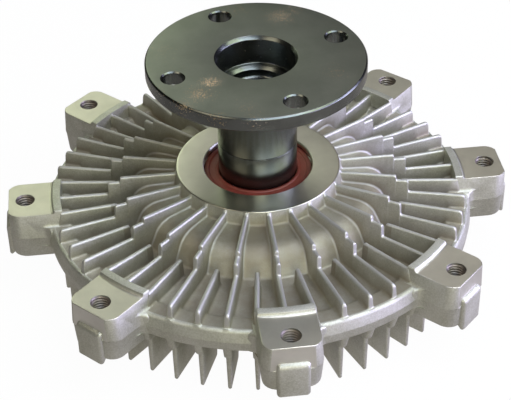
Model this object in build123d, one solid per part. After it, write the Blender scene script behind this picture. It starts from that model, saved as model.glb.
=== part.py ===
from build123d import *
import os
from math import cos, pi, radians, sin, tan

# Viscous fan clutch, in millimetres. The floor at z = 0 is the plane of the lower fin tips,
# +Z runs up along the shaft to the pump flange, and +X runs through one fan lug.

# Gap between a piece and the seat that it is pressed or set into
fit_gap = 0.02

# Housing: the die's parting plane above the fin tips, and heights from it or from the top
parting_z = 29.5
rim_rise = 5.1
rim_drop = 4.5
fin_floor_rise = 3.3
plate_drop = 1.2
lug_drop = 10.5
pad_rise = 11.1
shoulder_rise = 1.4
seat_drop = 3.5
boss_height = 6.8
dome_thickness = 3.8

# Housing: walls around the bearing and the chamber
bearing_overhang = 3.15
bearing_wall = 5.0
boss_wall = 8.7
boss_spread = 1.1
chamber_r = 51.0
chamber_corner = 2.0
dome_wall = 5.6
dome_lean = 5.6
dome_round = 5.0
edge_break = 0.5

# Housing: rim, measured in from its outer edge
rim_to_bolts = 8.2
rim_slope = 1.2
rim_draft = 0.5
rim_thickness = 4.0
plateau_inset = 10.8
wall_inside = 1.7

# Rolled lip that holds the front cover
cover_ledge = 10.0
lip_root = 3.5
lip_wall = 2.0
lip_fold = 1.8
lip_reach = 2.1

# Upper fins
fin_pitch_count = 48
fin_top_width = 1.6
fin_foot_width = 2.3
fin_sink = 1.8
fin_inset = 2.6
fin_corner = 1.2
short_fin_gap = 4.4
inner_step_gap = 2.0
middle_step_gap = 7.2
outer_fin_over_pad = 0.2
middle_fin_drop = 3.7
inner_fin_drop = 1.5

# Lower fins
lower_fin_gap = 1.5
lower_fin_inset = 4.6
lower_root_inset = 2.5
lower_root_depth = 6.5
lower_fin_root_width = 2.9
lower_fin_tip_width = 1.5
lower_fin_lean = 1.5

# Fan lugs
fan_bolt_circle_r = 99.0
fan_tap_r = 3.4
fan_tap_mouth_r = 4.1
lug_count = 8
lug_half_width = 12.3
lug_draft = 0.9
lug_past_bolt = 7.5
lug_facing = 0.5
lug_corner_r = 5.6
lug_root_inset = 1.8
lug_root_fillet = 3.2
register_to_bolts = 11.5
register_fillet = 1.5
shoulder_width = 3.2
tab_half_width = 6.5
tab_reach = 1.3
tab_depth = 3.5
tab_rise = 3.5
tab_drop = 2.0
tab_slope = 1.6

# Deep-groove bearing, 25 x 52 x 15
bearing_bore_r = 12.5
bearing_r = 26.0
bearing_width = 15.0
bearing_lip = 2.0
ball_r = 3.97
ball_count = 9
ball_circle_to_inner_land = 3.35
ball_circle_to_outer_land = 3.75
race_clearance = 0.08
cage_wall = 1.2
cage_base = 0.9
cage_horn = 2.2
cage_clearance = 0.25
seal_width = 1.2
seal_set_back = 0.3
seal_lip_clearance = 0.15
seal_groove = 0.6

# Circlip
circlip_width = 1.9
circlip_depth = 1.5
circlip_band = 3.6
circlip_gap_angle = 36.0
circlip_eye_r = 1.25
circlip_ear = 3.2
circlip_ear_angle = 5.0
circlip_land = 1.5

# Ring-shaped ridges of the housing and the rotor, which mesh with a gap
ridge_pitch = 4.2
ridge_width = 1.5
ridge_to_hub = 2.6
ridge_end_gap = 1.2

# Rotor
rotor_edge_gap = 0.8
rotor_web = 3.6
rotor_gap = 1.0
rotor_plate_gap = 2.2
rotor_hub_inset = 1.25
rotor_hub_depth = 8.4
rotor_seat_step = 0.6
bleed_hole_r = 2.5
bleed_to_hub = 5.5
bleed_count = 6

# Drive shaft and pump flange
flange_rise = 52.2
flange_bolt_circle_r = 36.25
flange_edge = 8.75
flange_thickness = 6.2
flange_chamfer = 0.7
flange_hole_r = 4.5
flange_hole_chamfer = 0.5
flange_hole_count = 4
shaft_rest_angle = 17.8
neck_shoulder = 4.1
neck_wall = 0.9
neck_groove_rise = 12.9
neck_groove = 0.35
neck_fillet = 1.5
pilot_depth = 12.4
pilot_chamfer = 1.3
core_step = 1.9
core_shoulder = 1.4
core_depth = 16.5
centre_hole_r = 7.5
centre_hole_depth = 40.0
stake_spread = 1.9
stake_height = 1.2

# Partition plate and its screws
plate_set_back = 3.2
plate_thickness = 1.6
plate_overlap = 0.2
plate_clearance = 0.2
inlet_port_r = 3.6
inlet_to_wall = 15.5
return_hole_r = 1.4
return_to_wall = 9.0
port_angle = 90.0
dam_length = 7.0
dam_width = 3.0
dam_height = 0.8
screw_count = 6
screw_to_wall = 3.4
screw_r = 1.5
screw_head_r = 2.6
screw_head_height = 1.1
screw_length = 4.4
screw_drive_r = 0.9
screw_phase = 22.5

# Front cover
cover_clearance = 0.15
cover_edge_thickness = 5.6
reservoir_to_wall = 7.0
reservoir_depth = 4.7
cover_web = 3.0
cover_fin_count = 24
cover_fin_start_r = 22.0
cover_fin_inset = 4.0
cover_fin_height = 11.0
cover_fin_root_width = 2.6
cover_fin_tip_width = 1.5
o_ring_section_r = 1.15
o_ring_groove_depth = 2.15
o_ring_groove_width = 2.9
o_ring_set_back = 2.8

# Bimetal valve
valve_shaft_r = 4.0
valve_running = 0.05
valve_boss_r = 9.5
valve_boss_drop = 2.9
arm_thickness = 0.8
arm_set_back = 1.8
arm_clearance = 0.8
arm_width = 9.0
arm_head_r = 5.5
arm_tip_r = 5.2
valve_neck_r = 2.6
valve_neck_flat = 2.0
washer_r = 4.2
washer_thickness = 0.6
valve_tip_reach = 0.4
clip_set_back = 1.1
clip_width = 0.8
clip_r = 5.6
clip_groove_depth = 0.9
clip_clearance = 0.05
clip_mouth = 4.6
valve_ring_rise = 2.4
valve_ring_section_r = 0.8
coil_start_r = 4.9
coil_turns = 3.5
coil_steps_a_turn = 8
coil_pitch = 3.0
coil_thickness = 1.1
coil_width = 4.6
coil_set_back = 2.0
slot_width = 1.3
post_width = 5.0
post_depth = 4.2

# Heights of the rim and lugs, from the parting plane
rim_top_z = parting_z + rim_rise
rim_bottom_z = parting_z - rim_drop
dome_foot_z = parting_z + fin_floor_rise
plate_bottom_z = parting_z - plate_drop
lug_bottom_z = parting_z - lug_drop
lug_pad_z = parting_z + pad_rise
shoulder_top_z = lug_pad_z + shoulder_rise
outer_fin_z = lug_pad_z + outer_fin_over_pad
tab_top_z = parting_z + tab_rise
tab_bottom_z = lug_bottom_z - tab_drop

# Heights of the pieces stacked from the cover's seat up to the boss
seat_z = parting_z - seat_drop
plate_top_z = seat_z - plate_set_back
partition_seat_z = plate_top_z - plate_thickness
rotor_web_bottom_z = plate_top_z + rotor_plate_gap
rotor_web_top_z = rotor_web_bottom_z + rotor_web
hub_bottom_z = rotor_web_top_z + rotor_gap
circlip_bottom_z = hub_bottom_z + circlip_land
bearing_bottom_z = circlip_bottom_z + circlip_width
bearing_mid_z = bearing_bottom_z + bearing_width / 2
bearing_top_z = bearing_bottom_z + bearing_width
boss_top_z = bearing_top_z + bearing_lip
dome_top_z = boss_top_z - boss_height
chamber_top_z = dome_top_z - dome_thickness
ridge_depth = chamber_top_z - rotor_web_top_z - ridge_end_gap
rotor_hub_bottom_z = bearing_bottom_z - rotor_hub_depth
inner_fin_z = boss_top_z - inner_fin_drop
middle_fin_z = boss_top_z - middle_fin_drop

# Heights of the shaft's flange and of the pieces under the partition plate
flange_top_z = boss_top_z + flange_rise
neck_z = flange_top_z - flange_thickness
neck_groove_z = boss_top_z + neck_groove_rise
lip_bottom_z = seat_z - cover_edge_thickness
o_ring_z = seat_z - o_ring_set_back
reservoir_floor_z = partition_seat_z - reservoir_depth
cover_web_bottom_z = reservoir_floor_z - cover_web
cover_fin_tip_z = cover_web_bottom_z - cover_fin_height
arm_z = partition_seat_z - arm_set_back
valve_boss_top_z = arm_z - arm_clearance
valve_boss_bottom_z = cover_web_bottom_z - valve_boss_drop
valve_ring_z = valve_boss_bottom_z + valve_ring_rise
clip_z = valve_boss_bottom_z - clip_set_back
coil_top_z = valve_boss_bottom_z - coil_set_back
coil_bottom_z = coil_top_z - coil_width
valve_tip_z = coil_bottom_z - valve_tip_reach

# Radii around the bearing and the shaft
race_r = (bearing_bore_r + bearing_r) / 2
race_groove_r = ball_r + race_clearance
inner_land_r = race_r - ball_circle_to_inner_land
outer_land_r = race_r + ball_circle_to_outer_land
lip_hole_r = bearing_r - bearing_overhang
hub_r = bearing_r + bearing_wall
boss_r = bearing_r + boss_wall
boss_foot_r = boss_r + boss_spread
neck_r = bearing_bore_r + neck_shoulder
pilot_r = neck_r - neck_wall
core_step_r = pilot_r - core_step
core_r = core_step_r - core_shoulder
flange_r = flange_bolt_circle_r + flange_edge
rotor_seat_r = bearing_bore_r - rotor_seat_step
stake_r = rotor_seat_r + stake_spread
rotor_hub_r = race_r - rotor_hub_inset
bleed_circle_r = rotor_hub_r + bleed_to_hub

# Radii around the chamber and the front cover
dome_foot_r = chamber_r + dome_wall
dome_shoulder_r = dome_foot_r - dome_lean
short_fin_start_r = dome_foot_r + short_fin_gap
inner_fin_end_r = dome_foot_r + inner_step_gap
middle_fin_end_r = dome_foot_r + middle_step_gap
rotor_r = chamber_r - rotor_edge_gap
ridge_start_r = hub_r + ridge_to_hub
ridge_room = rotor_r - ridge_start_r - ridge_pitch / 2 - ridge_width
ridge_count = int(ridge_room / ridge_pitch) + 1
partition_r = chamber_r + plate_overlap
inlet_port_circle_r = chamber_r - inlet_to_wall
return_hole_circle_r = chamber_r - return_to_wall
screw_circle_r = chamber_r - screw_to_wall
reservoir_r = chamber_r - reservoir_to_wall
cover_bore_r = chamber_r + cover_ledge
cover_r = cover_bore_r - cover_clearance
cover_fin_end_r = cover_bore_r - cover_fin_inset
lip_outer_r = cover_bore_r + lip_root
lower_fin_start_r = lip_outer_r + lower_fin_gap
coil_end_r = coil_start_r + coil_turns * coil_pitch
coil_end_angle = 360.0 * coil_turns

# Radii of the rim and lugs, from the fan's bolt circle
rim_r = fan_bolt_circle_r - rim_to_bolts
rim_edge_r = rim_r - rim_slope
rim_inner_r = rim_r - rim_thickness
plateau_r = rim_r - plateau_inset
fin_end_r = rim_r - fin_inset
lower_fin_end_r = rim_r - lower_fin_inset
lower_root_r = rim_r - lower_root_inset
register_r = fan_bolt_circle_r - register_to_bolts
shoulder_inner_r = register_r - shoulder_width
lug_end_x = fan_bolt_circle_r + lug_past_bolt
lug_flat_x = lug_end_x - lug_facing
lug_root_x = rim_r - lug_root_inset
tab_face_x = lug_end_x + tab_reach
tab_root_x = lug_end_x - tab_depth


# A solid of revolution about the shaft axis, from (radius, height) corners
def turned(*corners):
    return revolve(Plane.XZ * make_face(Polyline(*corners, close=True)), Axis.Z)


# A plain ring between two radii and two heights
def ring(inner_r, outer_r, low_z, high_z):
    return turned((inner_r, low_z), (outer_r, low_z), (outer_r, high_z), (inner_r, high_z))


# A round bar standing on low_z at a place in plan
def bar(x, y, radius, low_z, high_z):
    return Pos(x, y, low_z) * extrude(Circle(radius), high_z - low_z)


# The same solid at equal angles around the shaft axis
def around(solid, count, phase=0.0):
    return [Rot(0, 0, phase + 360.0 * i / count) * solid for i in range(count)]


# A face with one corner rounded
def rounded(face, corner, radius):
    vertex = face.vertices().sort_by_distance(Vector(*corner))[0]
    return fillet(vertex, radius)


# A radial plate whose sides lean in from one width at foot_z to another at tip_z
def wedge(start_r, end_r, foot_z, foot_width, tip_z, tip_width):
    section = Polyline(
        (-foot_width / 2, foot_z), (foot_width / 2, foot_z),
        (tip_width / 2, tip_z), (-tip_width / 2, tip_z), close=True,
    )
    return extrude(Plane.YZ.offset(start_r) * make_face(section), end_r - start_r)


# Corners of ridges that stand on a flat of height base_z and reach tip_z
def ridge_corners(first_r, base_z, tip_z):
    corners = []
    for i in range(ridge_count):
        inner_r = first_r + i * ridge_pitch
        outer_r = inner_r + ridge_width
        corners += [(inner_r, base_z), (inner_r, tip_z), (outer_r, tip_z), (outer_r, base_z)]
    return corners


# The turned body of the housing: boss, dome, fin floor, rim, rolled lip, chamber and bearing seat
def housing_body():
    fold_r = cover_bore_r - lip_reach
    fold_z = lip_bottom_z - lip_fold
    wall_r = cover_bore_r + lip_wall
    outside = [
        (lip_hole_r + edge_break, boss_top_z), (boss_r, boss_top_z),
        (boss_foot_r, dome_top_z), (dome_shoulder_r, dome_top_z), (dome_foot_r, dome_foot_z),
        (plateau_r, dome_foot_z), (plateau_r + wall_inside, rim_top_z), (rim_edge_r, rim_top_z),
        (rim_r, parting_z), (rim_r - rim_draft, rim_bottom_z), (rim_inner_r, rim_bottom_z),
        (rim_inner_r, plate_bottom_z), (lip_outer_r, plate_bottom_z), (lip_outer_r, seat_z),
        (wall_r, seat_z - lip_wall), (wall_r, fold_z + lip_fold / 2),
        (wall_r - lip_fold / 2, fold_z), (fold_r, fold_z),
    ]
    inside = [
        (fold_r, lip_bottom_z), (cover_bore_r, lip_bottom_z), (cover_bore_r, seat_z),
        (chamber_r, seat_z), (chamber_r, chamber_top_z - chamber_corner),
        (chamber_r - chamber_corner + edge_break, chamber_top_z),
    ]
    ridges = ridge_corners(ridge_start_r, chamber_top_z, chamber_top_z - ridge_depth)
    seat = [
        (hub_r, chamber_top_z), (hub_r, hub_bottom_z), (bearing_r, hub_bottom_z),
        (bearing_r, circlip_bottom_z), (bearing_r + circlip_depth, circlip_bottom_z),
        (bearing_r + circlip_depth, bearing_bottom_z), (bearing_r, bearing_bottom_z),
        (bearing_r, bearing_top_z), (lip_hole_r, bearing_top_z), (lip_hole_r, boss_top_z - edge_break),
    ]
    section = make_face(Polyline(*outside, *inside, *reversed(ridges), *seat, close=True))
    section = rounded(section, (dome_shoulder_r, dome_top_z), dome_round)
    return revolve(Plane.XZ * section, Axis.Z)


# A long upper fin, which climbs over the dome to the boss in two steps
def long_fin():
    foot_z = dome_foot_z - fin_sink
    dome_z = dome_top_z - fin_sink
    dome_side_r = dome_foot_r - 2 * fin_sink
    outline = Polyline(
        (boss_r - fin_sink, dome_z), (dome_shoulder_r - fin_sink, dome_z),
        (dome_side_r, dome_z - 3 * fin_sink), (dome_side_r, foot_z), (fin_end_r, foot_z),
        (fin_end_r, outer_fin_z - fin_corner), (fin_end_r - fin_corner, outer_fin_z),
        (middle_fin_end_r, outer_fin_z), (middle_fin_end_r, middle_fin_z),
        (inner_fin_end_r, middle_fin_z), (inner_fin_end_r, inner_fin_z),
        (boss_r - fin_sink, inner_fin_z), close=True,
    )
    blank = extrude(Plane.XZ * make_face(outline), fin_foot_width, both=True)
    return blank & wedge(0, fin_end_r + 1, foot_z, fin_foot_width, inner_fin_z, fin_top_width)


# A short upper fin, which stops at the foot of the dome
def short_fin():
    foot_z = dome_foot_z - fin_sink
    outline = Polyline(
        (short_fin_start_r, foot_z), (fin_end_r, foot_z), (fin_end_r, outer_fin_z - fin_corner),
        (fin_end_r - fin_corner, outer_fin_z), (short_fin_start_r, outer_fin_z), close=True,
    )
    blank = extrude(Plane.XZ * make_face(outline), fin_foot_width, both=True)
    return blank & wedge(0, fin_end_r + 1, foot_z, fin_foot_width, outer_fin_z, fin_top_width)


# A lower fin, which hangs from the plate and rim and thins towards its tip
def lower_fin():
    root_z = plate_bottom_z + fin_sink
    shoulder_z = rim_bottom_z - lower_root_depth
    under_rim_r = rim_r - rim_draft - edge_break
    outline = Polyline(
        (lip_outer_r - edge_break, root_z), (lip_outer_r - edge_break, seat_z + lower_fin_lean),
        (lower_fin_start_r, seat_z - lip_root), (lower_fin_start_r + lower_fin_lean, 0),
        (lower_fin_end_r - fin_corner, 0), (lower_fin_end_r, fin_corner), (lower_fin_end_r, shoulder_z),
        (lower_root_r, shoulder_z + edge_break), (under_rim_r, rim_bottom_z), (under_rim_r, root_z),
        close=True,
    )
    blank = extrude(Plane.XZ * make_face(outline), lower_fin_root_width, both=True)
    return blank & wedge(0, rim_r, root_z, lower_fin_root_width, 0, lower_fin_tip_width)


# The plan outline of a fan lug, with its two outer corners rounded
def lug_plan(half_width, plan_z):
    blank = Rectangle(lug_end_x - register_r + lip_root, 2 * half_width, align=(Align.MAX, Align.CENTER))
    corners = blank.vertices().group_by(Axis.X)[-1]
    return Pos(lug_end_x, 0, plan_z) * fillet(corners, lug_corner_r)


# The flared foot of a lug in the thickness of the rim
def lug_root():
    width = lug_half_width - lug_draft / 2
    flare = width + lug_root_fillet + edge_break
    outline = Polyline(
        (shoulder_inner_r, -flare), (lug_root_x, -flare), (lug_root_x, -width),
        (fan_bolt_circle_r, -width), (fan_bolt_circle_r, width), (lug_root_x, width),
        (lug_root_x, flare), (shoulder_inner_r, flare), close=True,
    )
    face = rounded(make_face(outline), (lug_root_x, -width), lug_root_fillet)
    face = rounded(face, (lug_root_x, width), lug_root_fillet)
    return extrude(Pos(0, 0, rim_bottom_z) * face, rim_top_z - rim_bottom_z)


# The cast tab on a lug's outer end, below the die line
def lug_tab():
    outline = Polyline(
        (tab_root_x, tab_top_z), (tab_root_x, lug_bottom_z), (tab_root_x + tab_slope, lug_bottom_z),
        (tab_face_x - edge_break, tab_bottom_z), (tab_face_x, tab_bottom_z + edge_break),
        (tab_face_x, tab_top_z - tab_slope), (lug_flat_x, tab_top_z), close=True,
    )
    return extrude(Plane.XZ * make_face(outline), tab_half_width, both=True)


# One cast lug, before the pads are faced
def lug_casting():
    middle = lug_plan(lug_half_width, parting_z)
    upper = loft([middle, lug_plan(lug_half_width - lug_draft, shoulder_top_z)])
    lower = loft([lug_plan(lug_half_width - lug_draft, lug_bottom_z), middle])
    lug = upper + lower + lug_root()
    reach = ring(shoulder_inner_r, lug_end_x + lug_half_width, 0, boss_top_z)
    return lug & reach


# The end mill's flat on a lug's outer end, above the die line
def lug_end_cut():
    height = boss_top_z - parting_z
    return Pos(lug_flat_x, 0, parting_z) * Box(
        lug_half_width, 4 * lug_half_width, height, align=(Align.MIN, Align.CENTER, Align.MIN)
    )


# The turned register and pads: all that a facing cut takes off the lugs
def pad_cut():
    outer_r = lug_end_x + lug_half_width
    section = make_face(Polyline(
        (register_r, lug_pad_z), (outer_r, lug_pad_z), (outer_r, boss_top_z), (register_r, boss_top_z),
        close=True,
    ))
    section = rounded(section, (register_r, lug_pad_z), register_fillet)
    return revolve(Plane.XZ * section, Axis.Z)


# A tapping drill hole through a lug, with its countersunk mouth
def tap_hole():
    mouth = fan_tap_mouth_r - fan_tap_r
    cut = turned(
        (0, lug_bottom_z - 1), (fan_tap_r, lug_bottom_z - 1), (fan_tap_r, lug_pad_z - mouth),
        (fan_tap_mouth_r, lug_pad_z), (fan_tap_mouth_r, boss_top_z), (0, boss_top_z),
    )
    return Pos(fan_bolt_circle_r, 0, 0) * cut


# The main casting, with fins, rim, lugs and the seats for the bearing and the cover
def rear_housing():
    half = fin_pitch_count // 2
    pitch = 360.0 / fin_pitch_count
    cast = housing_body() + around(lug_casting(), lug_count)
    cast = cast - [pad_cut()] - around(lug_end_cut(), lug_count)
    cast = cast + around(lug_tab(), lug_count)
    cast = cast + around(long_fin(), half) + around(short_fin(), half, pitch)
    cast = cast + around(lower_fin(), fin_pitch_count)
    return cast - around(tap_hole(), lug_count)


# The pump flange, its neck and the journal, turned from one forging
def drive_shaft():
    step_z = flange_top_z - pilot_depth
    core_z = flange_top_z - core_depth
    hole_z = flange_top_z - centre_hole_depth
    stake_top_z = rotor_hub_bottom_z
    groove = neck_groove / 2
    body = make_face(Polyline(
        (0, hole_z - centre_hole_r / 2), (centre_hole_r, hole_z), (centre_hole_r, core_z),
        (core_r, core_z), (core_r, step_z - core_step_r + core_r), (core_step_r, step_z),
        (pilot_r, step_z), (pilot_r, flange_top_z - pilot_chamfer), (pilot_r + pilot_chamfer, flange_top_z),
        (flange_r - flange_chamfer, flange_top_z), (flange_r, flange_top_z - flange_chamfer),
        (flange_r, neck_z + flange_chamfer), (flange_r - flange_chamfer, neck_z), (neck_r, neck_z),
        (neck_r, neck_groove_z + groove), (neck_r - neck_groove, neck_groove_z),
        (neck_r, neck_groove_z - groove), (neck_r, bearing_top_z), (bearing_bore_r - fit_gap, bearing_top_z),
        (bearing_bore_r - fit_gap, bearing_bottom_z), (rotor_seat_r, bearing_bottom_z),
        (rotor_seat_r, stake_top_z), (stake_r, stake_top_z), (rotor_seat_r, stake_top_z - stake_height),
        (0, stake_top_z - stake_height), close=True,
    ))
    body = rounded(body, (neck_r, neck_z), neck_fillet)
    shaft = revolve(Plane.XZ * body, Axis.Z)
    hole = turned(
        (0, neck_z - 1), (flange_hole_r, neck_z - 1), (flange_hole_r, flange_top_z - flange_hole_chamfer),
        (flange_hole_r + flange_hole_chamfer, flange_top_z), (0, flange_top_z),
    )
    return shaft - around(Pos(flange_bolt_circle_r, 0, 0) * hole, flange_hole_count, shaft_rest_angle)


# The groove that the balls run in, a ring of round section
def race_groove():
    return Pos(0, 0, bearing_mid_z) * Torus(race_r, race_groove_r)


def bearing_outer_ring():
    outer_r = bearing_r - fit_gap
    groove_r = outer_land_r + seal_groove
    step = seal_set_back + seal_width
    blank = turned(
        (outer_land_r, bearing_bottom_z), (outer_r, bearing_bottom_z), (outer_r, bearing_top_z),
        (outer_land_r, bearing_top_z), (outer_land_r, bearing_top_z - seal_set_back),
        (groove_r, bearing_top_z - seal_set_back), (groove_r, bearing_top_z - step),
        (outer_land_r - seal_groove, bearing_top_z - step - seal_groove),
        (outer_land_r - seal_groove, bearing_bottom_z + step + seal_groove),
        (groove_r, bearing_bottom_z + step), (groove_r, bearing_bottom_z + seal_set_back),
        (outer_land_r, bearing_bottom_z + seal_set_back),
    )
    return blank - race_groove()


def bearing_inner_ring():
    return ring(bearing_bore_r, inner_land_r, bearing_bottom_z, bearing_top_z) - race_groove()


def bearing_balls():
    return around(Pos(race_r, 0, bearing_mid_z) * Sphere(ball_r), ball_count)


# A moulded snap cage: a band with a round pocket for each ball, open towards the rear
def bearing_cage():
    pocket_r = ball_r + cage_clearance
    low_z = bearing_mid_z - pocket_r - cage_base
    band = ring(race_r - cage_wall, race_r + cage_wall, low_z, bearing_mid_z + cage_horn)
    pocket = Pos(race_r, 0, bearing_mid_z) * Sphere(pocket_r)
    return band - around(pocket, ball_count)


# One lip seal, seated in the outer ring and running just clear of the inner one
def bearing_seal(face_z, inward):
    inner_r = inner_land_r + seal_lip_clearance
    back_z = face_z + inward * seal_width
    lip_z = face_z + inward * seal_width * 2
    return turned(
        (inner_r, face_z), (outer_land_r + seal_groove, face_z), (outer_land_r + seal_groove, back_z),
        (inner_r + cage_wall, back_z), (inner_r + seal_groove, lip_z), (inner_r, lip_z),
    )


def rear_bearing_seal():
    return bearing_seal(bearing_top_z - seal_set_back, -1)


def front_bearing_seal():
    return bearing_seal(bearing_bottom_z + seal_set_back, 1)


# An internal circlip: an open band with an ear and an eye at each end
def bearing_circlip():
    outer_r = bearing_r + circlip_depth - fit_gap
    inner_r = outer_r - circlip_band
    height = circlip_width - 2 * fit_gap
    band = Circle(outer_r) - Circle(inner_r)
    mouth = Polyline(
        (0, 0), (2 * outer_r, -2 * outer_r * tan(radians(circlip_gap_angle / 2))),
        (2 * outer_r, 2 * outer_r * tan(radians(circlip_gap_angle / 2))), close=True,
    )
    plan = band - make_face(mouth)
    for side in (-1, 1):
        turn = Rot(0, 0, side * (circlip_gap_angle / 2 + circlip_ear_angle))
        plan = plan + turn * Pos(inner_r, 0) * Circle(circlip_ear)
        plan = plan - turn * Pos(inner_r - circlip_ear / 4, 0) * Circle(circlip_eye_r)
    return Pos(0, 0, circlip_bottom_z + fit_gap) * extrude(plan, height)


# The coupling disc: hub, web with bleed holes and the ridges that mesh with the housing's
def rotor():
    bore_r = rotor_seat_r + fit_gap
    ridges = ridge_corners(
        ridge_start_r + ridge_pitch / 2, rotor_web_top_z, rotor_web_top_z + ridge_depth
    )
    disc = turned(
        (bore_r, bearing_bottom_z), (inner_land_r, bearing_bottom_z),
        (inner_land_r, bearing_bottom_z - edge_break), (rotor_hub_r, bearing_bottom_z - edge_break),
        (rotor_hub_r, rotor_web_top_z), *ridges, (rotor_r, rotor_web_top_z),
        (rotor_r, rotor_web_bottom_z), (rotor_hub_r, rotor_web_bottom_z),
        (rotor_hub_r, rotor_hub_bottom_z), (bore_r, rotor_hub_bottom_z),
    )
    bleed = bar(bleed_circle_r, 0, bleed_hole_r, rotor_web_bottom_z, rotor_web_top_z)
    return disc - around(bleed, bleed_count)


# The plate that parts the working chamber from the reservoir
def partition_plate():
    plate = ring(0, partition_r, partition_seat_z, plate_top_z)
    port = bar(inlet_port_circle_r, 0, inlet_port_r, partition_seat_z, plate_top_z)
    back = bar(return_hole_circle_r, 0, return_hole_r, partition_seat_z, plate_top_z)
    holes = around(
        bar(screw_circle_r, 0, screw_r + fit_gap, partition_seat_z, plate_top_z), screw_count, screw_phase
    )
    dam = Pos(return_hole_circle_r, dam_width, plate_top_z) * Box(
        dam_length, dam_width, dam_height, align=(Align.CENTER, Align.CENTER, Align.MIN)
    )
    turn = Rot(0, 0, port_angle)
    return plate + Rot(0, 0, -port_angle) * dam - [turn * port, Rot(0, 0, -port_angle) * back] - holes


# A small screw with a round head and a square drive
def partition_screw():
    shank_z = plate_top_z - screw_length
    drive = Box(2 * screw_drive_r, 2 * screw_drive_r, screw_head_height)
    blank = turned(
        (0, shank_z), (screw_r, shank_z), (screw_r, plate_top_z), (screw_head_r, plate_top_z),
        (screw_head_r, plate_top_z + screw_head_height - edge_break),
        (screw_head_r - edge_break, plate_top_z + screw_head_height), (0, plate_top_z + screw_head_height),
    )
    return blank - Pos(0, 0, plate_top_z + screw_head_height) * drive


def partition_screws():
    return around(Pos(screw_circle_r, 0, 0) * partition_screw(), screw_count, screw_phase)


# A fin of the front cover
def cover_fin():
    root_z = cover_web_bottom_z + fin_sink / 2
    outline = Polyline(
        (cover_fin_start_r, root_z), (cover_fin_start_r, cover_web_bottom_z - cover_web),
        (cover_fin_start_r + cover_web, cover_fin_tip_z), (cover_fin_end_r - fin_sink, cover_fin_tip_z),
        (cover_fin_end_r, cover_web_bottom_z), (cover_fin_end_r, root_z), close=True,
    )
    blank = extrude(Plane.XZ * make_face(outline), cover_fin_root_width, both=True)
    return blank & wedge(
        0, cover_r, root_z, cover_fin_root_width, cover_fin_tip_z, cover_fin_tip_width
    )


# The post whose slot holds the outer end of the bimetal strip
def coil_post():
    height = cover_web_bottom_z - coil_bottom_z + fin_sink
    block = Box(post_depth, post_width, height, align=(Align.MIN, Align.CENTER, Align.MIN))
    slot = Box(post_depth, slot_width, coil_top_z - coil_bottom_z + fit_gap,
               align=(Align.MIN, Align.CENTER, Align.MIN))
    return Pos(coil_end_r + coil_thickness, 0, coil_bottom_z) * (block - slot)


# The front casting: edge held by the rolled lip, reservoir pocket, fins and valve boss
def front_cover():
    bore_r = valve_shaft_r + valve_running
    wall_r = partition_r + plate_clearance
    groove_low_z = o_ring_z - o_ring_groove_width / 2
    groove_high_z = o_ring_z + o_ring_groove_width / 2
    groove_r = cover_r - o_ring_groove_depth
    body = turned(
        (bore_r, valve_boss_top_z), (valve_boss_r, valve_boss_top_z), (valve_boss_r, reservoir_floor_z),
        (reservoir_r, reservoir_floor_z), (reservoir_r, partition_seat_z), (wall_r, partition_seat_z),
        (wall_r, seat_z), (cover_r, seat_z), (cover_r, groove_high_z), (groove_r, groove_high_z),
        (groove_r, groove_low_z), (cover_r, groove_low_z), (cover_r, lip_bottom_z),
        (cover_fin_end_r + edge_break, lip_bottom_z), (cover_fin_end_r + edge_break, lip_bottom_z - lip_fold),
        (cover_fin_end_r - cover_web, cover_web_bottom_z), (valve_boss_r, cover_web_bottom_z),
        (valve_boss_r, valve_boss_bottom_z), (bore_r, valve_boss_bottom_z),
    )
    screw_hole = bar(screw_circle_r, 0, screw_r + fit_gap, plate_top_z - screw_length - 1, partition_seat_z)
    cover = body + around(cover_fin(), cover_fin_count) + Rot(0, 0, coil_end_angle) * coil_post()
    return cover - around(screw_hole, screw_count, screw_phase)


def cover_o_ring():
    groove_r = cover_r - o_ring_groove_depth
    middle_r = (groove_r + cover_bore_r) / 2
    return Pos(0, 0, o_ring_z) * Torus(middle_r, o_ring_section_r)


# The valve shaft: flattened neck for the arm, ring groove, clip groove and a slot for the coil
def valve_shaft():
    neck_top_z = arm_z + arm_thickness + washer_thickness
    ring_r = valve_shaft_r + valve_running - fit_gap - 2 * valve_ring_section_r
    ring_low_z = valve_ring_z - valve_ring_section_r - valve_running
    ring_high_z = valve_ring_z + valve_ring_section_r + valve_running
    clip_groove_r = valve_shaft_r - clip_groove_depth
    blank = turned(
        (0, valve_tip_z), (valve_shaft_r, valve_tip_z), (valve_shaft_r, clip_z), (clip_groove_r, clip_z),
        (clip_groove_r, clip_z + clip_width), (valve_shaft_r, clip_z + clip_width),
        (valve_shaft_r, ring_low_z), (ring_r, ring_low_z), (ring_r, ring_high_z),
        (valve_shaft_r, ring_high_z), (valve_shaft_r, arm_z), (valve_neck_r, arm_z),
        (valve_neck_r, neck_top_z), (0, neck_top_z),
    )
    slot = Pos(0, 0, valve_tip_z) * Box(
        4 * valve_shaft_r, slot_width, coil_top_z + fit_gap - valve_tip_z,
        align=(Align.CENTER, Align.CENTER, Align.MIN),
    )
    reach = Circle(2 * valve_neck_r) - Rectangle(4 * valve_neck_r, 2 * valve_neck_flat)
    flats = Rot(0, 0, port_angle) * Pos(0, 0, arm_z) * extrude(reach, neck_top_z - arm_z)
    return blank - slot - flats


# The flattened hole that fits the valve shaft's neck
def neck_hole():
    return Circle(valve_neck_r + fit_gap) & Rectangle(4 * valve_neck_r, 2 * (valve_neck_flat + fit_gap))


def valve_arm():
    strip = Rectangle(inlet_port_circle_r, arm_width, align=(Align.MIN, Align.CENTER))
    plan = Circle(arm_head_r) + strip + Pos(inlet_port_circle_r, 0) * Circle(arm_tip_r) - neck_hole()
    return Rot(0, 0, port_angle) * Pos(0, 0, arm_z) * extrude(plan, arm_thickness)


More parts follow.
